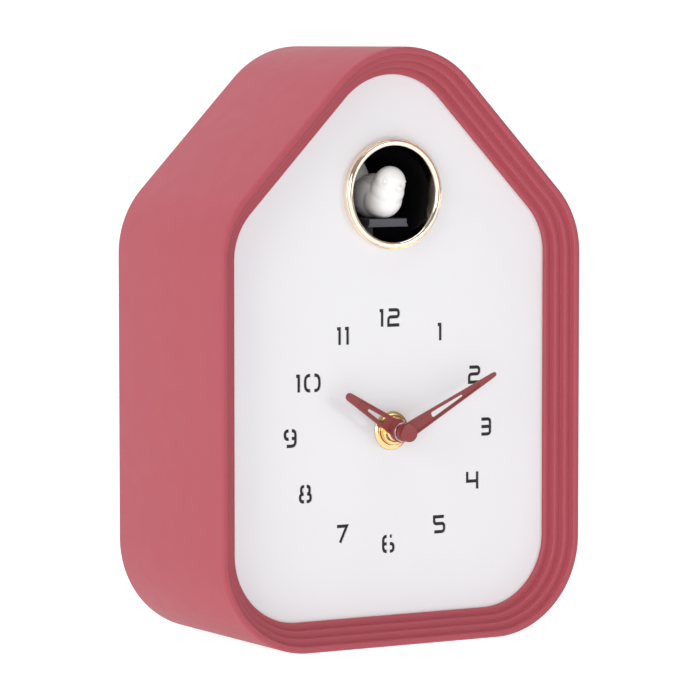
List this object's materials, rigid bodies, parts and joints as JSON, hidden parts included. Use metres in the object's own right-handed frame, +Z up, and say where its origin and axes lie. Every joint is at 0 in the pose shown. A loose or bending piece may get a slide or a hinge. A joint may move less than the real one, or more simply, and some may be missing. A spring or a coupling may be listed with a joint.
{
  "type": "cuckoo clock",
  "caption": "House-shaped cuckoo clock with stepped bezel, pierced dial, two slotted hands, and a bird pushed out through a round window.",
  "frame": {"origin": "middle of the flat base, on the surface the clock stands on", "axes": "+X to the right of someone facing the dial, +Y from the dial to the back, +Z up"},
  "size_m": [0.1606, 0.0874, 0.23],
  "materials": {
    "rose_plastic": "satin moulded",
    "dial_white": "smooth satin",
    "black_plastic": "fine textured",
    "gloss_black": "gloss",
    "ring_gold": "pale polished gold plate",
    "brass": "polished",
    "steel": "plain",
    "bird_white": "satin gloss",
    "perch_grey": "satin",
    "nylon": "natural",
    "magnet": "plain",
    "copper_winding": "enamelled copper wire",
    "hand_red": "satin",
    "battery_label": "printed sleeve",
    "board_green": "solder mask",
    "paper_cone": "pressed paper",
    "lead_red": "insulation"
  },
  "bodies": {
    "case": {"case_shell": "rose_plastic", "dial_plate": "dial_white", "dial_backing": "black_plastic", "window_ring": "ring_gold", "bird_chamber": "gloss_black", "mechanism_bracket": "black_plastic", "gear_axle": "steel", "bird_motor": "steel", "movement_front_case": "black_plastic", "movement_rear_case": "black_plastic", "centre_bush": "brass", "dial_washer": "brass", "dial_nut": "brass", "stator": "steel", "coil": "copper_winding", "rear_cover": "black_plastic", "circuit_board": "board_green", "speaker_frame": "steel", "speaker_cone": "paper_cone", "speaker_magnet": "steel", "battery_lead": "lead_red", "motor_lead": "lead_red", "speaker_lead": "lead_red", "battery_1": "battery_label", "battery_spring_1": "steel", "contact_plate_1": "steel", "battery_2": "battery_label", "battery_spring_2": "steel", "contact_plate_2": "steel", "battery_3": "battery_label", "battery_spring_3": "steel", "contact_plate_3": "steel", "cover_screw_1": "steel", "cover_screw_2": "steel", "cover_screw_3": "steel", "cover_screw_4": "steel"},
    "bird_carriage": {"bird_carriage": "perch_grey", "bird": "bird_white"},
    "drive_gear": {"drive_gear": "nylon"},
    "motor_pinion": {"motor_pinion": "nylon"},
    "minute_hand": {"minute_arbor": "steel", "minute_hand": "hand_red", "hand_cap": "hand_red"},
    "hour_hand": {"hour_wheel": "nylon", "hour_hand": "hand_red"},
    "minute_wheel": {"minute_wheel": "nylon"},
    "setting_knob": {"setting_stem": "nylon", "setting_knob": "nylon"},
    "rotor": {"rotor": "magnet"},
    "fifth_wheel": {"fifth_wheel": "nylon"},
    "fourth_wheel": {"fourth_wheel": "nylon"},
    "third_wheel": {"third_wheel": "nylon"},
    "centre_wheel": {"centre_wheel": "nylon"},
    "battery_door": {"battery_door": "black_plastic"},
    "volume_knob": {"volume_knob": "black_plastic"},
    "chime_switch": {"chime_switch": "black_plastic"},
    "test_button": {"test_button": "black_plastic"}
  },
  "joints": [
    {"name": "minute_hand_turn", "type": "hinge", "parent": "case", "child": "minute_hand", "pos_m": [0, -0.022, 0.0823], "axis": [0, 1, 0], "continuous": true},
    {"name": "hour_hand_turn", "type": "hinge", "parent": "case", "child": "hour_hand", "pos_m": [0, -0.022, 0.0823], "axis": [0, 1, 0], "continuous": true},
    {"name": "minute_wheel_turn", "type": "hinge", "parent": "case", "child": "minute_wheel", "pos_m": [0.00625, -0.022, 0.0823], "axis": [0, 1, 0], "continuous": true},
    {"name": "setting_knob_turn", "type": "hinge", "parent": "case", "child": "setting_knob", "pos_m": [0.01224, -0.022, 0.0823], "axis": [0, 1, 0], "continuous": true},
    {"name": "rotor_turn", "type": "hinge", "parent": "case", "child": "rotor", "pos_m": [-0.01148, -0.022, 0.07467], "axis": [0, 1, 0], "continuous": true},
    {"name": "fifth_wheel_turn", "type": "hinge", "parent": "case", "child": "fifth_wheel", "pos_m": [-0.01148, -0.022, 0.07947], "axis": [0, 1, 0], "continuous": true},
    {"name": "fourth_wheel_turn", "type": "hinge", "parent": "case", "child": "fourth_wheel", "pos_m": [-0.01148, -0.022, 0.08507], "axis": [0, 1, 0], "continuous": true},
    {"name": "third_wheel_turn", "type": "hinge", "parent": "case", "child": "third_wheel", "pos_m": [-0.00509, -0.022, 0.08739], "axis": [0, 1, 0], "continuous": true},
    {"name": "centre_wheel_turn", "type": "hinge", "parent": "case", "child": "centre_wheel", "pos_m": [0, -0.022, 0.0823], "axis": [0, 1, 0], "continuous": true},
    {"name": "bird_slide", "type": "slide", "parent": "case", "child": "bird_carriage", "axis": [0, -1, 0], "range_m": [0, 0.012]},
    {"name": "drive_gear_turn", "type": "hinge", "parent": "case", "child": "drive_gear", "pos_m": [0, -0.006, 0.1424], "axis": [1, 0, 0], "range_deg": [-2, 193]},
    {"name": "motor_pinion_turn", "type": "hinge", "parent": "case", "child": "motor_pinion", "pos_m": [0.0045, -0.00038, 0.13266], "axis": [1, 0, 0], "range_deg": [-766, 2]},
    {"name": "battery_door_slide", "type": "slide", "parent": "case", "child": "battery_door", "axis": [0, 0, -1], "range_m": [0, 0.01]},
    {"name": "volume_turn", "type": "hinge", "parent": "case", "child": "volume_knob", "pos_m": [-0.024, 0.039, 0.098], "axis": [0, 1, 0], "range_deg": [-135, 135]},
    {"name": "chime_switch_slide", "type": "slide", "parent": "case", "child": "chime_switch", "axis": [1, 0, 0], "range_m": [0, 0.0035]},
    {"name": "test_button_press", "type": "slide", "parent": "case", "child": "test_button", "axis": [0, -1, 0], "range_m": [0, 0.0012], "stiffness_N_per_m": 150}
  ],
  "couplings": [
    {"joint": "hour_hand_turn", "follows": "minute_hand_turn", "ratio": 0.083333},
    {"joint": "minute_wheel_turn", "follows": "minute_hand_turn", "ratio": -0.33333},
    {"joint": "setting_knob_turn", "follows": "minute_hand_turn", "ratio": 1.2},
    {"joint": "fifth_wheel_turn", "follows": "rotor_turn", "ratio": -0.2},
    {"joint": "fourth_wheel_turn", "follows": "rotor_turn", "ratio": 0.033333},
    {"joint": "third_wheel_turn", "follows": "rotor_turn", "ratio": -0.0044444},
    {"joint": "centre_wheel_turn", "follows": "rotor_turn", "ratio": 0.00055556},
    {"joint": "drive_gear_turn", "follows": "bird_slide", "rad_per_m": 277.78},
    {"joint": "motor_pinion_turn", "follows": "bird_slide", "rad_per_m": -1111.1}
  ]
}
